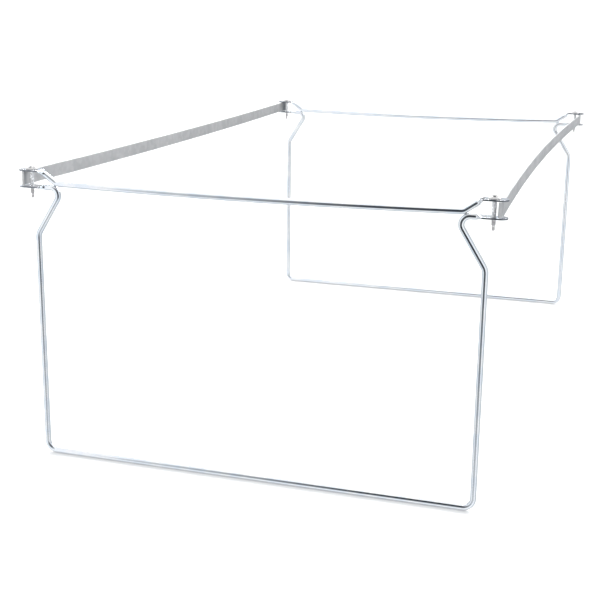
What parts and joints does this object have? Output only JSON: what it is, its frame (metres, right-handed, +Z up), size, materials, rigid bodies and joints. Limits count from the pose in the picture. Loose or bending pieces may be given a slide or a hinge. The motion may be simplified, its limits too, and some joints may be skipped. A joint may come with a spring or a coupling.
{
  "type": "hanging file rack",
  "caption": "Free-standing wire rack with bowed strip rails that hang legal-size folders; its corner screws are pivots, so it folds sideways.",
  "frame": {"origin": "on the surface the rack stands on, midway between the two rails and between the two end frames", "axes": "+Y along the rails from the front end frame to the back one, +X across the rack to the right, +Z up"},
  "size_m": [0.3992, 0.6726, 0.2482],
  "materials": {
    "plated_wire": "bright zinc plating on drawn steel wire",
    "screw_steel": "bright zinc-plated screw",
    "rail_steel": "matte galvanised strip steel"
  },
  "bodies": {
    "front_end": {"front_crossbar": "plated_wire", "front_leg_frame": "plated_wire", "front_left_screw": "screw_steel", "front_right_screw": "screw_steel"},
    "left_rail": {"left_rail": "rail_steel"},
    "right_rail": {"right_rail": "rail_steel"},
    "back_end": {"back_crossbar": "plated_wire", "back_leg_frame": "plated_wire", "back_left_screw": "screw_steel", "back_right_screw": "screw_steel"}
  },
  "joints": [
    {"name": "left_rail_fold", "type": "hinge", "parent": "front_end", "child": "left_rail", "pos_m": [-0.189, -0.33, 0.2387], "axis": [0, 0, 1], "range_deg": [-80, 80]},
    {"name": "right_rail_fold", "type": "hinge", "parent": "front_end", "child": "right_rail", "pos_m": [0.189, -0.33, 0.2387], "axis": [0, 0, 1], "range_deg": [-80, 80]},
    {"name": "back_end_fold", "type": "hinge", "parent": "left_rail", "child": "back_end", "pos_m": [-0.189, 0.33, 0.2387], "axis": [0, 0, 1], "range_deg": [-80, 80]}
  ],
  "couplings": [
    {"joint": "right_rail_fold", "follows": "left_rail_fold", "ratio": 1},
    {"joint": "back_end_fold", "follows": "left_rail_fold", "ratio": -1}
  ]
}
